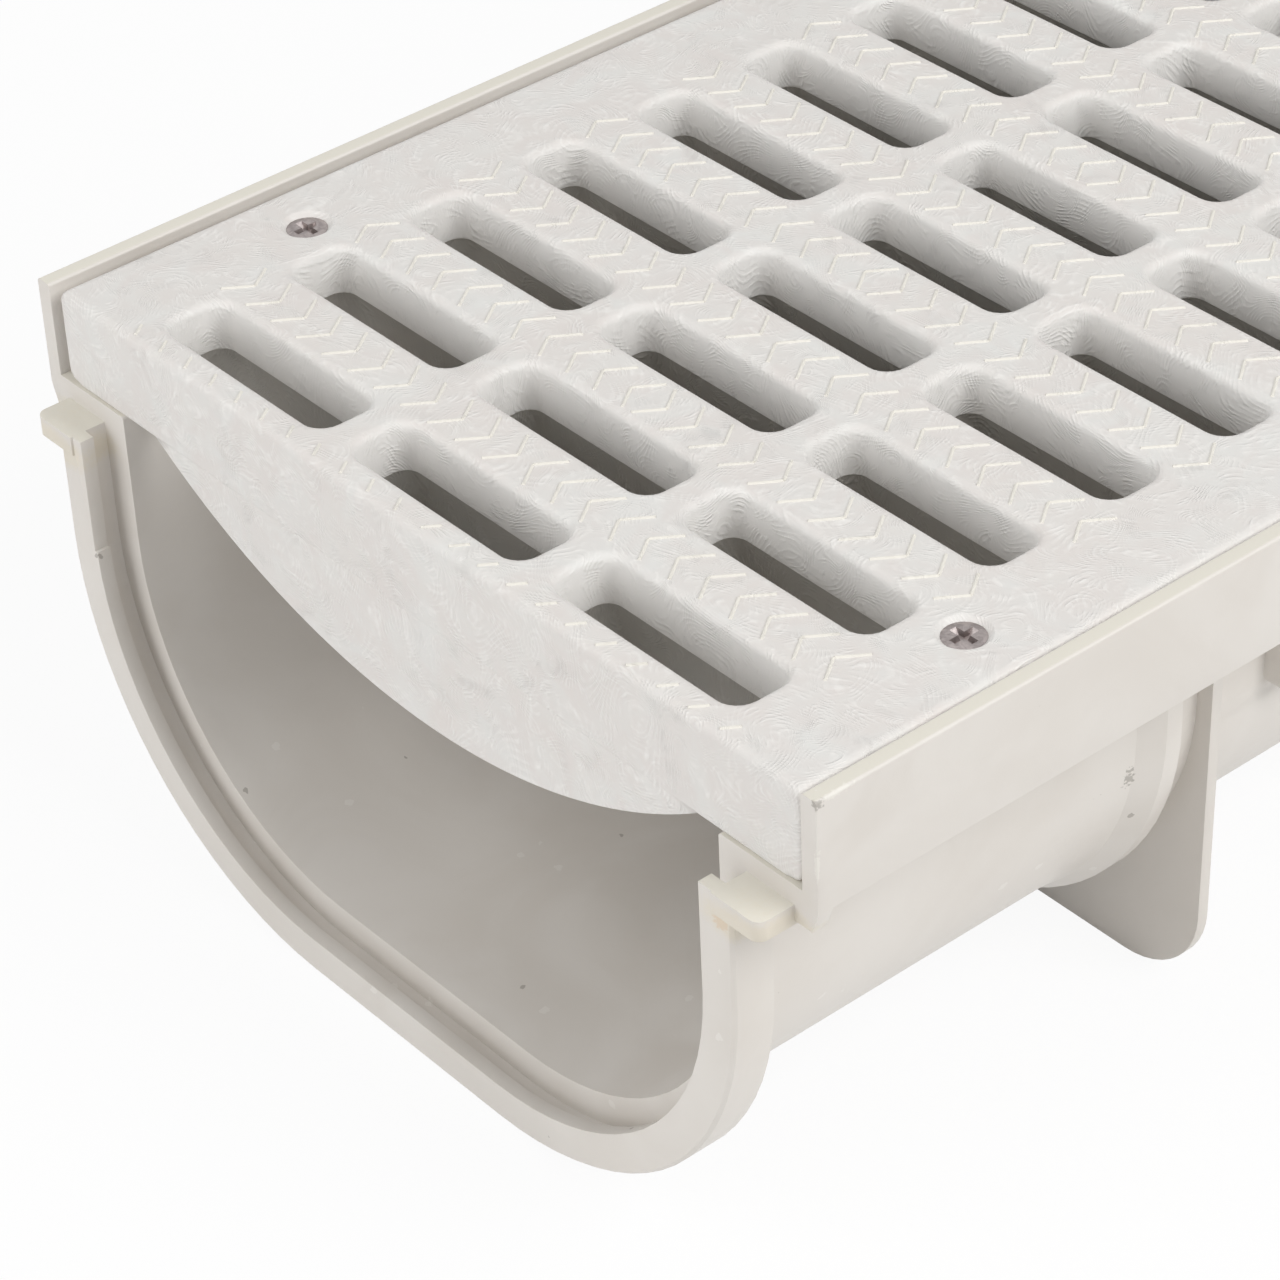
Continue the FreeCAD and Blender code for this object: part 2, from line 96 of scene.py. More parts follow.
def blendColor(tree, factor, first, second):
    settings = {"data_type": "RGBA", "blend_type": "MIX"}
    return addNode(tree, "ShaderNodeMix", settings, {0: factor, 6: first, 7: second}).outputs[2]


# effects that more than one finish uses

fibrePattern = {
    "swirl": {"Roughness": 0.3, "Distortion": 0.6},
    "jitterScale": 1300.0,
    "jitter": 1.6,
    "line": (-0.4, 1.0),
    "gapScale": 330.0,
    "gap": (0.34, 0.66),
}


def makeFibreGroup(pattern):
    # fine lines that follow the contours of a slow noise, broken into fibres
    group, enter, leave = newGroup(
        "flowFibres",
        [("NodeSocketVector", "Place"), ("NodeSocketFloat", "Swirl"), ("NodeSocketFloat", "Lines")],
        [("NodeSocketFloat", "Height")],
    )
    place = enter.outputs["Place"]
    slow = addNoise(group, place, enter.outputs["Swirl"], 1.0, pattern["swirl"]).outputs["Fac"]
    jitter = addNoise(group, place, pattern["jitterScale"], 1.0).outputs["Fac"]
    phase = addMath(group, "MULTIPLY", slow, enter.outputs["Lines"])
    phase = addMath(group, "ADD", phase, addMath(group, "MULTIPLY", jitter, pattern["jitter"]))
    line = remap(group, addMath(group, "SINE", phase), *pattern["line"])
    gaps = addNoise(group, place, pattern["gapScale"], 2.0).outputs["Fac"]
    fibre = addMath(group, "MULTIPLY", line, remap(group, gaps, *pattern["gap"]))
    group.links.new(fibre, leave.inputs["Height"])
    return group


mottlePattern = {
    "broad": {"Distortion": 1.2},
    "tone": (0.32, 0.68),
    "poreScale": 2600.0,
}


def makeMottleGroup(pattern):
    # broad uneven tone of a moulding, and pores as small as dust
    group, enter, leave = newGroup(
        "mouldMottle",
        [("NodeSocketVector", "Place"), ("NodeSocketFloat", "Size")],
        [("NodeSocketFloat", "Tone"), ("NodeSocketFloat", "Pores")],
    )
    place = enter.outputs["Place"]
    broad = addNoise(group, place, enter.outputs["Size"], 5.0, pattern["broad"]).outputs["Fac"]
    pores = addNoise(group, place, pattern["poreScale"], 1.0).outputs["Fac"]
    group.links.new(remap(group, broad, *pattern["tone"]), leave.inputs["Tone"])
    group.links.new(pores, leave.inputs["Pores"])
    return group


speckPattern = {
    "bendScale": 700.0,
    "bend": 1.6 * mm,
}


def makeSpeckGroup(pattern):
    # scattered specks: only the cells whose own chance is high enough have one
    group, enter, leave = newGroup(
        "scatteredSpecks",
        [("NodeSocketVector", "Place"), ("NodeSocketFloat", "Density"), ("NodeSocketFloat", "Chance"),
         ("NodeSocketFloat", "Radius")],
        [("NodeSocketFloat", "Mask")],
    )
    place = enter.outputs["Place"]
    bend = addNoise(group, place, pattern["bendScale"], 2.0).outputs["Color"]
    shake = addVectorMath(group, "SCALE", {0: bend, "Scale": pattern["bend"]})
    moved = addVectorMath(group, "ADD", {0: place, 1: shake})
    cells = addNode(group, "ShaderNodeTexVoronoi", None, {"Vector": moved, "Scale": enter.outputs["Density"]})
    chance = addNode(group, "ShaderNodeSeparateColor", None, {"Color": cells.outputs["Color"]}).outputs[0]
    chosen = addMath(group, "GREATER_THAN", chance, enter.outputs["Chance"])
    inside = addMath(group, "LESS_THAN", cells.outputs["Distance"], enter.outputs["Radius"])
    group.links.new(addMath(group, "MULTIPLY", chosen, inside), leave.inputs["Mask"])
    return group


markPattern = {
    "edgeScale": 1500.0,
    "fade": (1.0, 0.55),  # from nothing at the radius to full at this share of it
}


def makeMarkGroup(pattern):
    # one mark with a ragged edge, strongest at its centre
    group, enter, leave = newGroup(
        "raggedMark",
        [("NodeSocketVector", "Place"), ("NodeSocketVector", "Centre"), ("NodeSocketVector", "Stretch"),
         ("NodeSocketFloat", "Radius"), ("NodeSocketFloat", "Ragged")],
        [("NodeSocketFloat", "Mask")],
    )
    place = enter.outputs["Place"]
    away = addVectorMath(group, "SUBTRACT", {0: place, 1: enter.outputs["Centre"]})
    shaped = addVectorMath(group, "MULTIPLY", {0: away, 1: enter.outputs["Stretch"]})
    length = addVectorMath(group, "LENGTH", {0: shaped}, "Value")
    share = addMath(group, "DIVIDE", length, enter.outputs["Radius"])
    edge = addNoise(group, place, pattern["edgeScale"], 3.0).outputs["Fac"]
    rough = addMath(group, "MULTIPLY", addMath(group, "SUBTRACT", edge, 0.5), enter.outputs["Ragged"])
    mask = remap(group, addMath(group, "ADD", share, rough), *pattern["fade"])
    group.links.new(mask, leave.inputs["Mask"])
    return group


fibres = makeFibreGroup(fibrePattern)
mottle = makeMottleGroup(mottlePattern)
specks = makeSpeckGroup(speckPattern)
mark = makeMarkGroup(markPattern)


def newMaterial(name, shaderValues):
    material = bpy.data.materials.new(name)
    material.use_nodes = True
    tree = material.node_tree
    shader = tree.nodes["Principled BSDF"]
    for socket, value in shaderValues.items():
        shader.inputs[socket].default_value = value
    place = addNode(tree, "ShaderNodeTexCoord").outputs["Object"]
    return material, tree, shader, place


def placeGroup(tree, group, values):
    return addNode(tree, "ShaderNodeGroup", {"node_tree": group}, values).outputs


def readPaint(tree, name):
    return addNode(tree, "ShaderNodeAttribute", {"attribute_name": name}).outputs["Fac"]


def addBump(tree, height, distance, strength, under=None):
    values = {"Height": height, "Distance": distance, "Strength": strength}
    if under is not None:
        values["Normal"] = under
    return addNode(tree, "ShaderNodeBump", None, values).outputs["Normal"]


def linkRoughness(tree, shader, tone, start, change):
    tree.links.new(remap(tree, tone, 0.0, 1.0, (start, start + change)), shader.inputs["Roughness"])


# the grate's plastic: pale, with swirling fibres, creamier ridges with a painted highlight, and slot walls
# with painted light above the waist and painted shade below it

gratePlastic = {
    "cool": (0.75, 0.745, 0.72, 1),
    "color": (0.74, 0.712, 0.68, 1),
    "warm": (0.72, 0.67, 0.64, 1),
    "fibreLight": (0.84, 0.82, 0.79, 1),
    # ridges: their creamier tone with a painted highlight
    "ridgeCreamAndHighlight": (0.79, 0.765, 0.70, 1),
    "slotPaintedLightShade": (0.86, 0.845, 0.82, 1),   # painted light on a slot's wall above its waist
    "slotPaintedShade": (0.33, 0.315, 0.28, 1),   # painted shade on it below the waist
    "paintedLightShare": 0.85,
    "paintedShadeShare": 0.65,
    "warmShare": 0.6,
    "fibreShare": 0.75,
    "toneSize": 38.0,
    "warmSize": 90.0,
    "coarse": {"Swirl": 42.0, "Lines": 330.0},
    "coarseShare": 0.6,
    "fine": {"Swirl": 75.0, "Lines": 230.0},
    "fineShare": 0.55,
    "roughness": 0.5,
    "specular": 0.35,
    "grain": (0.06 * mm, 0.35),   # depth, strength
    "relief": (0.12 * mm, 0.8),
}


def makeGratePlastic(look):
    material, tree, shader, place = newMaterial("gratePlastic", {"Specular IOR Level": look["specular"]})
    coarse = placeGroup(tree, fibres, {"Place": place, **look["coarse"]})["Height"]
    fine = placeGroup(tree, fibres, {"Place": place, **look["fine"]})["Height"]
    tone = placeGroup(tree, mottle, {"Place": place, "Size": look["toneSize"]})
    drift = placeGroup(tree, mottle, {"Place": place, "Size": look["warmSize"]})["Tone"]
    both = addMath(tree, "ADD", addMath(tree, "MULTIPLY", coarse, look["coarseShare"]),
                   addMath(tree, "MULTIPLY", fine, look["fineShare"]))
    base = blendColor(tree, tone["Tone"], look["cool"], look["color"])
    base = blendColor(tree, addMath(tree, "MULTIPLY", drift, look["warmShare"]), base, look["warm"])
    base = blendColor(tree, addMath(tree, "MULTIPLY", both, look["fibreShare"]), base, look["fibreLight"])
    # slot walls: painted light above the waist, painted shade below it
    wall = readPaint(tree, "slotPaintedLightShade")
    base = blendColor(tree, remap(tree, wall, 0.0, 1.0, (0.0, look["paintedLightShare"])), base, look["slotPaintedLightShade"])
    base = blendColor(tree, remap(tree, wall, 0.0, -1.0, (0.0, look["paintedShadeShare"])), base, look["slotPaintedShade"])
    # chevron ridges: creamier, with a painted highlight
    base = blendColor(tree, readPaint(tree, "creamAndPaintedHighlight"), base, look["ridgeCreamAndHighlight"])
    tree.links.new(base, shader.inputs["Base Color"])
    linkRoughness(tree, shader, both, look["roughness"], -0.12)
    grain = addBump(tree, tone["Pores"], *look["grain"])
    tree.links.new(addBump(tree, both, *look["relief"], grain), shader.inputs["Normal"])
    return material


# the channel's plastic: creamier and smoother, with a few marks of its own, painted top light on its level
# tops, and burrs with a painted highlight on its rounded edges

channelPlastic = {
    "color": (0.685, 0.645, 0.595, 1),
    "pale": (0.725, 0.69, 0.645, 1),
    # painted top light: level tops of the rims painted lighter and creamier
    "top": (0.72, 0.69, 0.61, 1),
    "burrAndHighlight": (0.80, 0.77, 0.68, 1),
    "scuff": (0.88, 0.86, 0.82, 1),
    "speck": (0.20, 0.17, 0.14, 1),
    "burrAndHighlightShare": 0.5,
    "scuffShare": 0.3,
    "speckShare": 0.5,
    "toneSize": 26.0,
    "flow": {"Swirl": 30.0, "Lines": 60.0},
    "specks": {"Density": 150.0, "Chance": 0.90, "Radius": 0.09},
    "scuffs": {"Density": 140.0, "Chance": 0.82, "Radius": 0.12},
    "roughness": 0.38,
    "specular": 0.45,
    "grain": (0.03 * mm, 0.2),   # depth, strength
    "relief": (0.08 * mm, 0.1),
}

tan = (0.62, 0.42, 0.27, 1)
dark = (0.16, 0.14, 0.11, 1)
cream = (0.85, 0.83, 0.76, 1)
lugCream = (0.71, 0.64, 0.50, 1)

channelMarks = [
    # color, centre, stretch, radius, raggedness, strength
    (tan, (0.0858, -0.2512, 0.0791), (1, 1, 1.2), 2.0 * mm, 1.6, 0.75),      # under the right lug
    (dark, (0.1000, -0.2444, 0.1060), (1, 0.5, 1), 1.0 * mm, 2.6, 0.5),      # dark mark in the rim's corner
    (cream, (0.1000, -0.2400, 0.1062), (1, 0.22, 1), 0.8 * mm, 2.6, 0.45),   # burr along its top
    (cream, (0.1000, -0.2444, 0.0950), (1, 1, 0.2), 0.7 * mm, 2.6, 0.4),     # burr down its end
    (dark, (0.0805, -0.1590, 0.0540), (1, 0.7, 0.35), 0.8 * mm, 3.4, 0.5),   # dark marks beside the hoop
    (dark, (0.0805, -0.1650, 0.0530), (1, 0.4, 1.2), 0.7 * mm, 3.4, 0.45),
    (lugCream, (0.0915, -0.2480, 0.0800), (0.9, 1, 2.5), 12 * mm, 0.4, 0.55),   # tops of the lugs
    (lugCream, (-0.0915, -0.2480, 0.0800), (0.9, 1, 2.5), 12 * mm, 0.4, 0.55),
]


def makeChannelPlastic(look, marks):
    material, tree, shader, place = newMaterial("channelPlastic", {"Specular IOR Level": look["specular"]})
    tone = placeGroup(tree, mottle, {"Place": place, "Size": look["toneSize"]})
    flow = placeGroup(tree, fibres, {"Place": place, **look["flow"]})["Height"]
    dots = placeGroup(tree, specks, {"Place": place, **look["specks"]})["Mask"]
    scuffs = placeGroup(tree, specks, {"Place": place, **look["scuffs"]})["Mask"]
    base = blendColor(tree, tone["Tone"], look["color"], look["pale"])
    # painted top light on the level tops of the rims
    base = blendColor(tree, readPaint(tree, "paintedTopLight"), base, look["top"])
    # burrs with a painted highlight on the rounded edges
    edges = addMath(tree, "MULTIPLY", readPaint(tree, "creamAndPaintedHighlight"), look["burrAndHighlightShare"])
    base = blendColor(tree, edges, base, look["burrAndHighlight"])
    base = blendColor(tree, addMath(tree, "MULTIPLY", scuffs, look["scuffShare"]), base, look["scuff"])
    base = blendColor(tree, addMath(tree, "MULTIPLY", dots, look["speckShare"]), base, look["speck"])
    for color, centre, stretch, radius, ragged, strength in marks:
        values = {"Place": place, "Centre": centre, "Stretch": stretch, "Radius": radius, "Ragged": ragged}
        spot = placeGroup(tree, mark, values)["Mask"]
        base = blendColor(tree, addMath(tree, "MULTIPLY", spot, strength), base, color)
    tree.links.new(base, shader.inputs["Base Color"])
    linkRoughness(tree, shader, tone["Tone"], look["roughness"], 0.1)
    grain = addBump(tree, tone["Pores"], *look["grain"])
    tree.links.new(addBump(tree, flow, *look["relief"], grain), shader.inputs["Normal"])
    return material


screwSteel = {
    "color": (0.40, 0.355, 0.345, 1),
    "dull": (0.27, 0.24, 0.235, 1),
    "toneSize": 700.0,
    "roughness": 0.28,
    "grain": (0.03 * mm, 0.3),   # depth, strength
}


def makeScrewSteel(look):
    material, tree, shader, place = newMaterial("screwSteel", {"Metallic": 1.0})
    tone = placeGroup(tree, mottle, {"Place": place, "Size": look["toneSize"]})
    tree.links.new(blendColor(tree, tone["Tone"], look["color"], look["dull"]), shader.inputs["Base Color"])
    linkRoughness(tree, shader, tone["Tone"], look["roughness"], 0.12)
    tree.links.new(addBump(tree, tone["Pores"], *look["grain"]), shader.inputs["Normal"])
    return material


grateFinish = makeGratePlastic(gratePlastic)
channelFinish = makeChannelPlastic(channelPlastic, channelMarks)
screwFinish = makeScrewSteel(screwSteel)
print("materials made")


# helpers for shaping

def finishPiece(name, bm, material, nodes, sharpAngle):
    bmesh.ops.remove_doubles(bm, verts=bm.verts, dist=weld)
    bmesh.ops.recalc_face_normals(bm, faces=bm.faces)
    for face in bm.faces:
        face.smooth = True
    mesh = bpy.data.meshes.new(name)
    bm.to_mesh(mesh)
    bm.free()
    mesh.set_sharp_from_angle(angle=math.radians(sharpAngle))
    mesh.materials.append(material)
    piece = bpy.data.objects.new(name, mesh)
    scene.collection.objects.link(piece)
    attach(piece, "root")
    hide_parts(*nodes)
    print("made", name, "with", len(mesh.polygons), "faces")


def paintFaces(bm, faces, name):
    # marks the corners of these faces, for a colour of their own
    layer = bm.loops.layers.float.get(name) or bm.loops.layers.float.new(name)
    for face in faces:
        for corner in face.loops:
            corner[layer] = 1.0


def openFace(bm, face):
    # the face's own edges, with the face gone
    edges = list(face.edges)
    bmesh.ops.delete(bm, geom=[face], context="FACES_ONLY")
    return edges


def splitEdges(bm, edges, cuts):
    made = bmesh.ops.subdivide_edges(bm, edges=edges, cuts=cuts)["geom_split"]
    return [g for g in made if isinstance(g, bmesh.types.BMEdge) and g not in edges]


def unique(items):
    # each item once, in the order met
    return list(dict.fromkeys(items))


def pointsOf(edges):
    return {v for e in edges for v in e.verts}


def extrudeLoop(bm, loop, outward):
    # a new loop below this one; each new point keeps what outward says of the old one
    before = pointsOf(loop)
    made = bmesh.ops.extrude_edge_only(bm, edges=loop)["geom"]
    newEdges = [g for g in made if isinstance(g, bmesh.types.BMEdge)]
    newLoop = [e for e in newEdges if not (set(e.verts) & before)]
    carried = {}
    for vert in pointsOf(newLoop):
        link = [e.other_vert(vert) for e in vert.link_edges if e.other_vert(vert) in before][0]
        carried[vert] = outward[link]
    return newLoop, carried


def roundedSheet(bm, width, length, cornerRound, segments):
    # a flat rectangle with rounded corners
    made = bmesh.ops.create_grid(bm, x_segments=1, y_segments=1, size=0.5)
    bmesh.ops.scale(bm, vec=(width, length, 1), verts=made["verts"])
    corners = bmesh.ops.bevel(bm, geom=made["verts"], offset=cornerRound, segments=segments, profile=0.5,
                              affect="VERTICES", material=-1)
    return corners["verts"][0].link_faces[0]


# the channel: a copy of the solid, with its moulded edges rounded

channelShape = {
    "troughHalf": 77.8 * mm,
    "troughRadius": 52 * mm,
    "troughFloor": 10.4 * mm,
    "rimsMiddle": 3.6 * mm,
    "hoopPlace": 158.2 * mm,  # outer face of a hoop, from the middle of the rims
    "hoopThick": 4 * mm,
    "hoopBuild": 5 * mm,      # less than this is the trough's own wall
    "hoopDown": 0.9 * mm,
    "hoopIn": 1.0 * mm,
    "slack": 0.1 * mm,
    "ledge": 70 * mm,         # level faces above this get painted top light, lighter and creamier
    "levelFrom": 0.97,        # how far up such a face looks
    "edgeRound": 0.35 * mm,
    "edgeSegments": 2,
    "flatBelow": 0.4,         # degrees between two faces
    "sharpFrom": 28,
    "smoothBelow": 40,
}


def settleHoops(bm, shape):
    # the hoops' outer faces lie a little lower and nearer the middle
    coreX = shape["troughHalf"] - shape["troughRadius"]
    coreZ = shape["troughFloor"] + shape["troughRadius"]
    for vert in bm.verts:
        along = abs(vert.co.y - shape["rimsMiddle"])
        if not shape["hoopPlace"] - shape["hoopThick"] < along < shape["hoopPlace"] + shape["slack"]:
            continue
        core = Vector((max(-coreX, min(coreX, vert.co.x)), vert.co.y, max(coreZ, vert.co.z)))
        if (vert.co - core).length > shape["troughRadius"] + shape["hoopBuild"]:
            vert.co -= (vert.co - core).normalized() * shape["hoopDown"]
            vert.co.y -= math.copysign(shape["hoopIn"], vert.co.y - shape["rimsMiddle"])


def makeChannel(shape):
    bm = bmesh.new()
    bm.from_mesh(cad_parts["channel"].data)
    bmesh.ops.remove_doubles(bm, verts=bm.verts, dist=weld)
    bmesh.ops.dissolve_limit(bm, angle_limit=math.radians(shape["flatBelow"]), verts=bm.verts, edges=bm.edges)
    settleHoops(bm, shape)
    sharpFrom = math.radians(shape["sharpFrom"])
    sharp = [e for e in bm.edges if e.is_manifold and e.calc_face_angle(0) > sharpFrom]
    rounded = bmesh.ops.bevel(bm, geom=sharp, offset=shape["edgeRound"], segments=shape["edgeSegments"],
                              profile=0.5, affect="EDGES", clamp_overlap=True, material=-1)["faces"]
    # level faces high on the rims, for painted top light
    level = [f for f in bm.faces
             if f.normal.z > shape["levelFrom"] and f.calc_center_median().z > shape["ledge"]]
    paintFaces(bm, level, "paintedTopLight")
    # rounded edges: burrs and a painted highlight
    paintFaces(bm, rounded, "creamAndPaintedHighlight")
    finishPiece("channel_moulding", bm, channelFinish, ["channel"], shape["smoothBelow"])


# the grate: walls of the slots first, then the face and the underside between them

low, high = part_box("grate")
grateShape = {
    "middle": (low.x + high.x) / 2,
    "middleAlong": (low.y + high.y) / 2,
    "halfWidth": (high.x - low.x) / 2,
    "halfLength": (high.y - low.y) / 2,
    "face": high.z,
    "underside": high.z - 18.1 * mm,
    "cornerRound": 1.2 * mm,
    "cornerSegments": 3,
    "endFlat": 1 * mm,
    "endGap": 0.3 * mm,       # from the grate's end to the rims' end
    "edgeRim": 0.1 * mm,
    "edgeFlat": 0.3 * mm,     # level band before the rounded upper edge
    "edgeRound": 1.7 * mm,
    "edgeCuts": 71,
    "sideFoot": 3 * mm,       # rounded lower edges, along the sides and at the ends
    "endFoot": 0.9 * mm,
    "footSteps": 4,
    "bellyHalf": 71.5 * mm,
    "bellyDepth": 21.9 * mm,
    "bellyCuts": 17,
    "columns": 3,
    "rows": 19,
    "slotPitch": 51.5 * mm,
    "slotLength": 43 * mm,    # at the waist
    "slotWidth": 11 * mm,
    "slotRound": 3 * mm,
    "slotSegments": 6,
    "slotCuts": 9,
    "slotFlat": 0.25 * mm,
    "slotEdge": 1.6 * mm,
    "roundSteps": 5,
    "upperLean": 0.7 * mm,
    "waistDepth": 8.8 * mm,
    "waistSoft": (0.1 * mm, 0.2 * mm),   # how far out at the waist, and from how far above it
    "lip": (0.55 * mm, 0.35 * mm),       # how far out just below the waist, and how far below
    "lowerLean": 1.9 * mm,
    "footRise": 0.3 * mm,
    "sinkRadius": 4.5 * mm,
    "sinkSoft": (0.35 * mm, 0.15 * mm, 0.12 * mm),   # level rim, start of the edge, its depth
    "holeRadius": 2.3 * mm,
    "holeSegments": 36,
    "smoothBelow": 50,
}
grateShape["rowPitch"] = 2 * (grateShape["halfLength"] + grateShape["endGap"]) / grateShape["rows"]


def undersideAt(shape, x):
    # the belly is an arc across the grate, centred above it
    across = min(abs(x - shape["middle"]), shape["bellyHalf"])
    radius = (shape["bellyHalf"] ** 2 + shape["bellyDepth"] ** 2) / (2 * shape["bellyDepth"])
    return shape["underside"] - shape["bellyDepth"] + radius - math.sqrt(radius ** 2 - across ** 2)


def quarterRound(steps):
    # (sine, what the cosine leaves of 1) from 0 to 90 degrees
    turns = [math.radians(90 * i / steps) for i in range(steps + 1)]
    return [(math.sin(turn), 1 - math.cos(turn)) for turn in turns]


def slotProfile(shape):
    # (spread, depth) down a slot's wall: flat rim, soft edge, upper wall, waist, lip
    soft = shape["slotEdge"]
    lean = shape["upperLean"]
    waist = shape["waistDepth"]
    waistIn, waistAbove = shape["waistSoft"]
    lipOut, lipBelow = shape["lip"]
    steps = [(lean + soft + shape["slotFlat"], 0)]
    steps += [(lean + soft * (1 - across), soft * down) for across, down in quarterRound(shape["roundSteps"])]
    return steps + [(0, waist - waistAbove), (waistIn, waist), (lipOut, waist + lipBelow)]


def coresOf(loop, halfWidth, halfLength):
    # for each point, the nearest point of a rectangle inside the loop
    cores = {}
    for vert in pointsOf(loop):
        x = max(-halfWidth, min(halfWidth, vert.co.x))
        y = max(-halfLength, min(halfLength, vert.co.y))
        cores[vert] = Vector((x, y, 0))
    return cores


def addSlot(bm, shape, x, y):
    length = shape["slotLength"]
    width = shape["slotWidth"]
    curve = shape["slotRound"]
    loop = openFace(bm, roundedSheet(bm, length, width, curve, shape["slotSegments"]))
    long = [e for e in loop if e.calc_length() > length / 2]
    loop += splitEdges(bm, long, shape["slotCuts"])
    cores = coresOf(loop, length / 2 - curve, width / 2 - curve)
    outward = {vert: (core, (vert.co - core).normalized()) for vert, core in cores.items()}
    rim = loop
    paint = bm.verts.layers.float["slotPaintedLightShade"]  # painted light (1) above the waist, painted shade (-1) below it
    for step, (spread, depth) in enumerate(slotProfile(shape)):
        if step:
            loop, outward = extrudeLoop(bm, loop, outward)
        # painted light grows across the soft edge and holds down to the waist; below it is painted shade
        share = min(1.0, depth / shape["slotEdge"]) if depth <= shape["waistDepth"] else -1.0
        for vert, (core, way) in outward.items():
            vert.co = core + way * (curve + spread) + Vector((x, y, shape["face"] - depth))
            vert[paint] = share
    lip = shape["lip"][0]
    deepest = shape["face"] - shape["underside"] + shape["bellyDepth"] - shape["waistDepth"]
    for rise in (shape["footRise"], 0):  # the lower wall in painted shade, then its last stretch unpainted
        loop, outward = extrudeLoop(bm, loop, outward)
        for vert, (core, way) in outward.items():
            ground = undersideAt(shape, core.x + x)
            drop = (shape["face"] - ground - shape["waistDepth"]) / deepest
            vert.co = core + way * (curve + lip + drop * (shape["lowerLean"] - lip))
            vert.co += Vector((x, y, ground + rise if rise else shape["underside"]))
            vert[paint] = -1.0 if rise else 0.0
    return rim, loop


def addScrewHole(bm, shape, x, y):
    made = bmesh.ops.create_circle(bm, segments=shape["holeSegments"], radius=shape["sinkRadius"])["verts"]
    loop = unique(e for v in made for e in v.link_edges)
    outward = {v: v.co.normalized() for v in made}
    sink = shape["sinkRadius"]
    hole = shape["holeRadius"]
    flat, soft, drop = shape["sinkSoft"]
    deep = shape["face"] - shape["underside"]
    rim = loop
    wall = [(sink + flat, 0), (sink + soft, 0), (sink, drop), (hole, sink - hole), (hole, deep)]
    for step, (radius, depth) in enumerate(wall):
        if step:
            loop, outward = extrudeLoop(bm, loop, outward)
        for vert, way in outward.items():
            vert.co = way * radius + Vector((x, y, shape["face"] - depth))
    return rim, loop


def addOutline(bm, shape):
    # the outer wall: a rounded upper edge, and lower edges rounded more along the sides than at the ends
    sheet = roundedSheet(bm, 2 * shape["halfWidth"], 2 * shape["halfLength"], shape["cornerRound"],
                         shape["cornerSegments"])
    loop = openFace(bm, sheet)
    ends = [e for e in loop if e.calc_length() > shape["halfWidth"]
            and abs(e.verts[0].co.y - e.verts[1].co.y) < tiny]
    loop += splitEdges(bm, ends, shape["edgeCuts"])
    soft = shape["edgeRound"]
    band = soft + shape["edgeFlat"]
    cores = coresOf(loop, shape["halfWidth"] - band, shape["halfLength"] - band)
    outward = {vert: (core, vert.co - core) for vert, core in cores.items()}
    centre = Vector((shape["middle"], shape["middleAlong"], 0))
    rim = loop
    steps = [(shape["edgeRim"], 0)]
    steps += [(shape["edgeFlat"] + soft * across, soft * down)
              for across, down in quarterRound(shape["roundSteps"])]
    for step, (width, depth) in enumerate(steps):
        if step:
            loop, outward = extrudeLoop(bm, loop, outward)
        for vert, (core, way) in outward.items():
            vert.co = core + way * (width / band) + centre + Vector((0, 0, shape["face"] - depth))
    foot = Vector((shape["sideFoot"], shape["endFoot"]))
    for across, down in quarterRound(shape["footSteps"]):
        rise = foot * (1 - across)
        inset = foot * down
        loop, outward = extrudeLoop(bm, loop, outward)
        for vert, (core, way) in outward.items():
            full = core + way
            side = abs(full.x) > shape["halfWidth"] - shape["sideFoot"]
            vert.co = full + centre + Vector((0, 0, shape["underside"]))
            halfWidth = min(abs(full.x), shape["halfWidth"] - inset.x)
            vert.co.x = shape["middle"] + math.copysign(halfWidth, full.x)
            if abs(full.y) > shape["halfLength"] - shape["endFlat"]:
                vert.co.y -= math.copysign(inset.y, full.y)
            vert.co.z += rise.x if side else rise.y
    return rim, loop


def bendUnderside(bm, shape):
    # cuts the level underside into strips and lowers them to the belly's arc
    def level(vert):
        return abs(vert.co.z - shape["underside"]) < tiny

    last = shape["bellyCuts"] - 1
    for cut in range(shape["bellyCuts"]):
        x = shape["middle"] + shape["bellyHalf"] * (2 * cut / last - 1)
        flat = [f for f in bm.faces if all(level(v) for v in f.verts)]
        geom = flat + unique(e for f in flat for e in f.edges) + unique(v for f in flat for v in f.verts)
        bmesh.ops.bisect_plane(bm, geom=geom, plane_co=(x, 0, 0), plane_no=(1, 0, 0), dist=tiny / 10)
    for vert in [v for v in bm.verts if level(v)]:
        vert.co.z = undersideAt(shape, vert.co.x)


def makeGrate(shape):
    bm = bmesh.new()
    # painted light and shade on the slot walls
    bm.verts.layers.float.new("slotPaintedLightShade")
    walls = []
    for column in range(shape["columns"]):
        for row in range(shape["rows"]):
            x = shape["middle"] + (column - (shape["columns"] - 1) / 2) * shape["slotPitch"]
            y = shape["middleAlong"] + (row - (shape["rows"] - 1) / 2) * shape["rowPitch"]
            walls.append(addSlot(bm, shape, x, y))
    for node in screwNodes:
        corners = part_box(node)
        centre = (corners[0] + corners[1]) / 2
        walls.append(addScrewHole(bm, shape, centre.x, centre.y))
    walls.append(addOutline(bm, shape))
    rims = [e for rim, ground in walls for e in rim]
    grounds = [e for rim, ground in walls for e in ground]
    bmesh.ops.triangle_fill(bm, edges=rims, use_beauty=True, use_dissolve=False)
    bmesh.ops.triangle_fill(bm, edges=grounds, use_beauty=True, use_dissolve=False)
    bendUnderside(bm, shape)
    addGripRidges(bm, shape, gripRidges)
    finishPiece("grate_moulding", bm, grateFinish, ["grate"], shape["smoothBelow"])


# raised chevrons on the bars, pointing inwards on one bar and outwards on the next

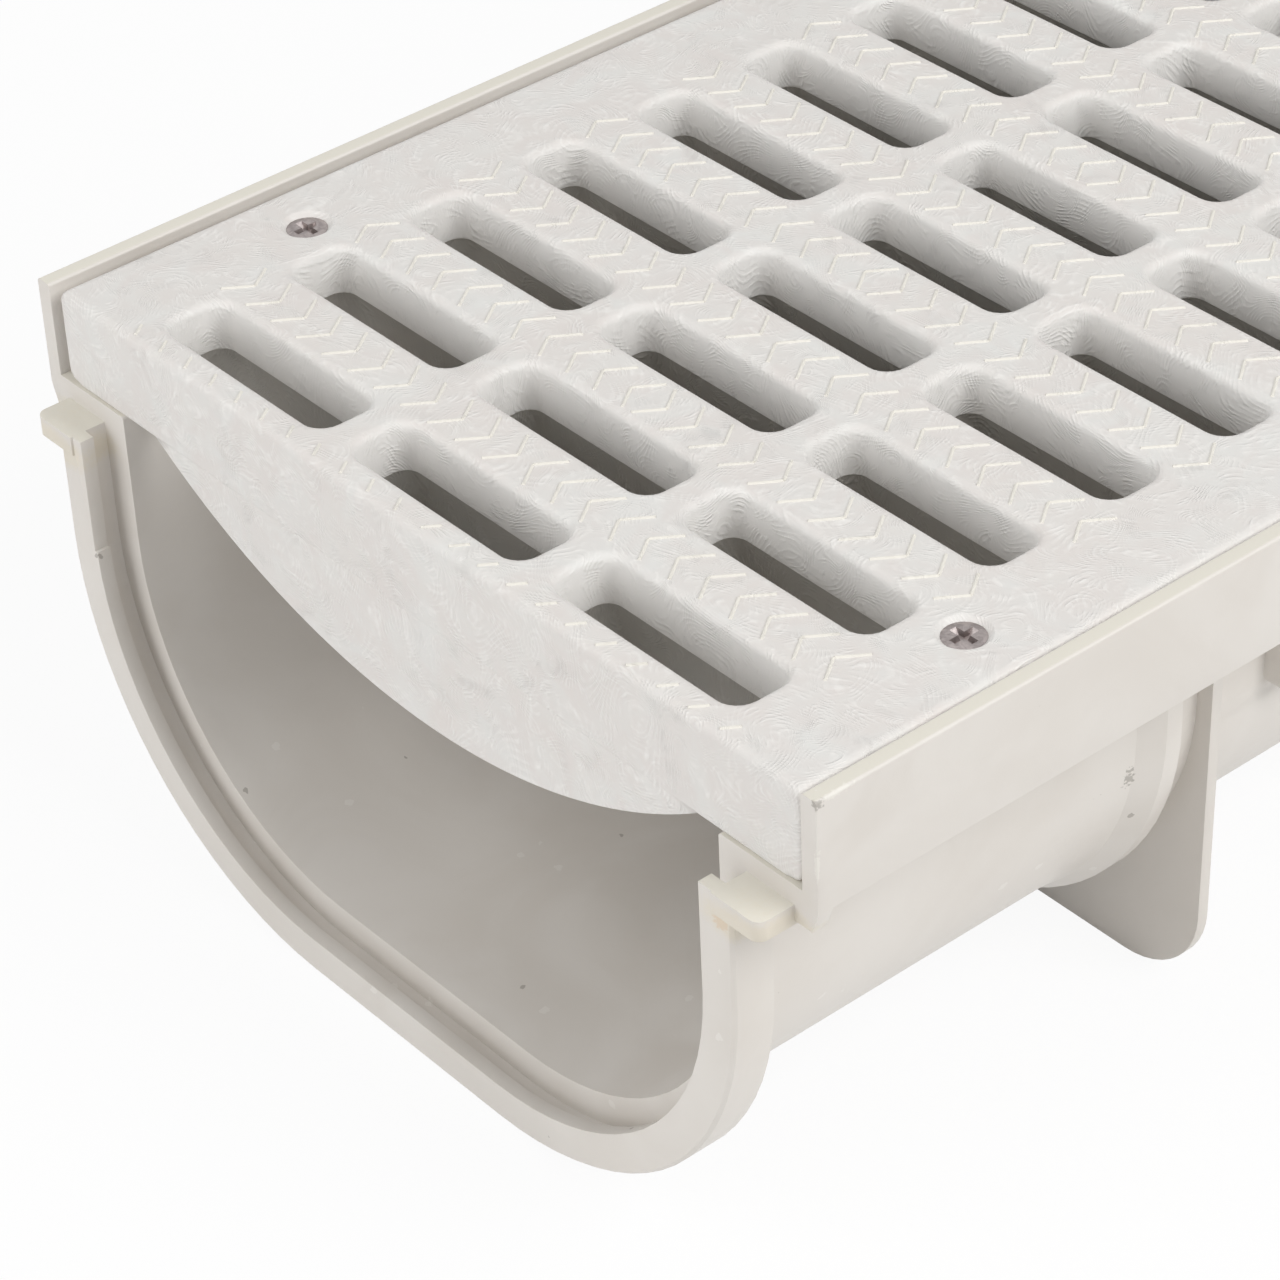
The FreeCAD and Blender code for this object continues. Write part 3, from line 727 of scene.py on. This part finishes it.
gripRidges = {
    "pitch": 7.17 * mm,
    "perSide": 11,
    "reach": 3.4 * mm,
    "halfSpan": 4.8 * mm,
    "width": 0.62 * mm,
    "height": 0.3 * mm,
    "crest": 0.3,             # share of the width that is left on top
    "endSlope": 0.5,          # share of the width that the ends slope back
    "middle": 1.8 * mm,
    "inwardFrom": 1.9 * mm,   # first apex from the pattern's middle
    "outwardFrom": 4.5 * mm,
    "rowShift": -0.3 * mm,
    "cutShort": 0.42,         # share of an arm that the rounded end edge takes away
}


def addArm(bm, grip, start, end, base):
    # a low ridge from start to end, with sloping sides and ends
    made = bmesh.ops.create_grid(bm, x_segments=1, y_segments=1, size=0.5)["verts"]
    way = end - start
    length = way.length
    width = grip["width"]
    bmesh.ops.scale(bm, vec=(length, width, 1), verts=made)
    raised = bmesh.ops.extrude_face_region(bm, geom=[made[0].link_faces[0]])["geom"]
    top = [g for g in raised if isinstance(g, bmesh.types.BMVert)]
    bmesh.ops.scale(bm, vec=((length - width * grip["endSlope"]) / length, grip["crest"], 1), verts=top)
    bmesh.ops.translate(bm, vec=(0, 0, grip["height"]), verts=top)
    turn = Matrix.Rotation(math.atan2(way.y, way.x), 4, "Z")
    place = Matrix.Translation(((start.x + end.x) / 2, (start.y + end.y) / 2, base))
    bmesh.ops.transform(bm, matrix=place @ turn, verts=made + top)
    bottom = [f for f in made[0].link_faces if all(v in made for v in f.verts)]
    bmesh.ops.delete(bm, geom=bottom, context="FACES_ONLY")
    # the chevron's faces get a painted highlight with their creamier tone
    paintFaces(bm, {f for v in top for f in v.link_faces}, "creamAndPaintedHighlight")


def addGripRidges(bm, shape, grip):
    end = shape["halfLength"] + shape["endGap"]
    last = shape["rows"]
    base = shape["face"] - tiny
    for row in range(last + 1):
        y = shape["middleAlong"] - end + row * shape["rowPitch"] + grip["rowShift"]
        inward = row % 2 == 1 or row == 0
        first = grip["inwardFrom"] if inward else grip["outwardFrom"]
        arms = [arm for arm in (-1, 1) if not (row == 0 and arm < 0 or row == last and arm > 0)]
        for side in (-1, 1):
            tail = side * grip["reach"] if inward else -side * grip["reach"]
            for i in range(grip["perSide"]):
                apex = Vector((grip["middle"] + side * (first + i * grip["pitch"]), y, 0))
                for arm in arms:
                    tip = apex + Vector((tail, arm * grip["halfSpan"], 0))
                    start = apex + (tip - apex) * grip["cutShort"] if row in (0, last) else apex
                    addArm(bm, grip, start, tip, base)


# the screws: countersunk heads with a cross recess

screwShape = {
    "headSegments": 48,
    "rimHeight": 0.35 * mm,
    "rimRound": 0.28 * mm,
    "rimMid": 0.3,            # share of the rounding at its middle point
    "shankShare": 0.52,       # of the head's radius
    "pointShare": 0.2,        # of the shank's radius
    "pointLength": 1 * mm,
    "wingWidth": 1.35 * mm,
    "wingSpan": 5.0 * mm,
    "recessDepth": 0.9 * mm,
    "coreShare": 0.6,
    "smoothBelow": 35,
}


def addHead(bm, shape, radius, length):
    # the head's rim, countersink, shank and point, as loops below the top
    made = bmesh.ops.create_circle(bm, segments=shape["headSegments"], radius=radius)["verts"]
    loop = unique(e for v in made for e in v.link_edges)
    outward = {v: v.co.normalized() for v in made}
    shank = radius * shape["shankShare"]
    soft = shape["rimRound"]
    wall = [
        (radius - soft, 0),
        (radius - shape["rimMid"] * soft, shape["rimMid"] * soft),
        (radius, soft),
        (radius, shape["rimHeight"]),
        (shank, shape["rimHeight"] + radius - shank),
        (shank, length - shape["pointLength"]),
        (shank * shape["pointShare"], length),
    ]
    for step, (across, depth) in enumerate(wall):
        if step:
            loop, outward = extrudeLoop(bm, loop, outward)
        for vert, way in outward.items():
            vert.co = way * across + Vector((0, 0, -depth))
    bmesh.ops.contextual_create(bm, geom=loop)


def addRecess(bm, shape):
    # a cross sunk into the top, narrower at its floor
    half = shape["wingWidth"] / 2
    tip = shape["wingSpan"] / 2
    cross = bmesh.ops.create_grid(bm, x_segments=3, y_segments=3, size=0.5)["verts"]
    for vert in cross:  # outer points of the grid to the tips, inner ones to the wings' sides
        vert.co.x = math.copysign(tip if abs(vert.co.x) > 0.3 else half, vert.co.x)
        vert.co.y = math.copysign(tip if abs(vert.co.y) > 0.3 else half, vert.co.y)
    outer = [v for v in cross if min(abs(v.co.x), abs(v.co.y)) > (half + tip) / 2]
    squares = unique(f for v in cross for f in v.link_faces)
    plus = [f for f in squares if not any(v in outer for v in f.verts)]
    bmesh.ops.delete(bm, geom=outer, context="VERTS")
    sunk = bmesh.ops.extrude_face_region(bm, geom=plus)["geom"]
    floor = [g for g in sunk if isinstance(g, bmesh.types.BMVert)]
    bmesh.ops.delete(bm, geom=plus, context="FACES")
    bmesh.ops.translate(bm, vec=(0, 0, -shape["recessDepth"]), verts=floor)
    bmesh.ops.scale(bm, vec=(shape["coreShare"], shape["coreShare"], 1), verts=floor)


def makeScrew(node, shape):
    low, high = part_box(node)
    centre = Vector(((low.x + high.x) / 2, (low.y + high.y) / 2, high.z))
    bm = bmesh.new()
    addHead(bm, shape, (high.x - low.x) / 2, high.z - low.z)
    addRecess(bm, shape)
    border = [e for e in bm.edges if e.is_boundary and all(abs(v.co.z) < tiny for v in e.verts)]
    bmesh.ops.triangle_fill(bm, edges=border, use_beauty=True, use_dissolve=False)
    bmesh.ops.translate(bm, vec=centre, verts=bm.verts)
    finishPiece(node + "_steel", bm, screwFinish, [node], shape["smoothBelow"])


makeChannel(channelShape)
makeGrate(grateShape)
for node in screwNodes:
    makeScrew(node, screwShape)


# floor, lights and camera

studio = {
    "floorHalf": 6,
    "floorColor": (0.9, 0.9, 0.9, 1),
    "floorRoughness": 0.9,
    "floorWhite": 0.92,   # how much of the floor is plain white to the camera
    "white": (1, 1, 1, 1),
    "sky": 0.29,          # the world's strength as a light
}


def cameraOrMirror(tree):
    # 1 for what the camera and mirrors see
    path = addNode(tree, "ShaderNodeLightPath")
    return addMath(tree, "ADD", path.outputs["Is Camera Ray"], path.outputs["Is Glossy Ray"], True)


def makeFloor(look):
    bm = bmesh.new()
    bmesh.ops.create_grid(bm, x_segments=1, y_segments=1, size=look["floorHalf"])
    mesh = bpy.data.meshes.new("studioFloor")
    bm.to_mesh(mesh)
    bm.free()
    floor = bpy.data.objects.new("studioFloor", mesh)
    scene.collection.objects.link(floor)
    material = bpy.data.materials.new("studioFloor")
    material.use_nodes = True
    tree = material.node_tree
    shader = tree.nodes["Principled BSDF"]
    shader.inputs["Base Color"].default_value = look["floorColor"]
    shader.inputs["Roughness"].default_value = look["floorRoughness"]
    shader.inputs["Specular IOR Level"].default_value = 0.0
    glow = addNode(tree, "ShaderNodeEmission", None, {"Color": look["white"], "Strength": 1.0})
    share = addMath(tree, "MULTIPLY", cameraOrMirror(tree), look["floorWhite"])
    mix = addNode(tree, "ShaderNodeMixShader", None, {0: share, 1: shader.outputs[0], 2: glow.outputs[0]})
    tree.links.new(mix.outputs[0], tree.nodes["Material Output"].inputs["Surface"])
    mesh.materials.append(material)


softLights = [
    # name, place, aim, width, height, power
    ("topSoftbox", (-0.1, 0.15, 1.7), (0, 0, 0), 1.7, 1.7, 3),
    ("sideSoftbox", (1.3, 0.2, 1.2), (0, 0, 0.05), 1.0, 1.0, 20),
    ("frontSoftbox", (-0.3, -1.3, 1.3), (0, 0, 0.05), 1.1, 1.0, 7),
    ("lowSoftbox", (-0.35, -1.8, 0.6), (0, 0, 0.05), 1.3, 0.9, 8),
]


def makeLight(name, place, aim, width, height, power):
    data = bpy.data.lights.new(name, "AREA")
    data.shape = "RECTANGLE"
    data.size = width
    data.size_y = height
    data.energy = power
    light = bpy.data.objects.new(name, data)
    light.location = place
    light.rotation_euler = (Vector(aim) - Vector(place)).to_track_quat("-Z", "Y").to_euler()
    scene.collection.objects.link(light)


def makeWorld(look):
    # white to the camera and mirrors, dim as a light
    world = bpy.data.worlds.new("studioWorld")
    world.use_nodes = True
    tree = world.node_tree
    sky = tree.nodes["Background"]
    sky.inputs["Color"].default_value = look["white"]
    strength = remap(tree, cameraOrMirror(tree), 0.0, 1.0, (look["sky"], 1.0))
    tree.links.new(strength, sky.inputs["Strength"])
    scene.world = world


cameraSetup = {
    "place": (0.47721, -0.57685, 0.50470),
    "turn": (53.765, 2.294, 49.736),  # degrees
    "lens": 125.04,
    "sensor": 36,
    "shift": (0.00264, -0.00015),
}


def makeCamera(setup):
    data = bpy.data.cameras.new("studioCamera")
    data.lens = setup["lens"]
    data.sensor_width = setup["sensor"]
    data.shift_x, data.shift_y = setup["shift"]
    camera = bpy.data.objects.new("studioCamera", data)
    camera.location = setup["place"]
    camera.rotation_euler = [math.radians(a) for a in setup["turn"]]
    scene.collection.objects.link(camera)
    scene.camera = camera


makeFloor(studio)
for light in softLights:
    makeLight(*light)
makeWorld(studio)
makeCamera(cameraSetup)
scene.view_settings.view_transform = "Standard"
print("studio set")
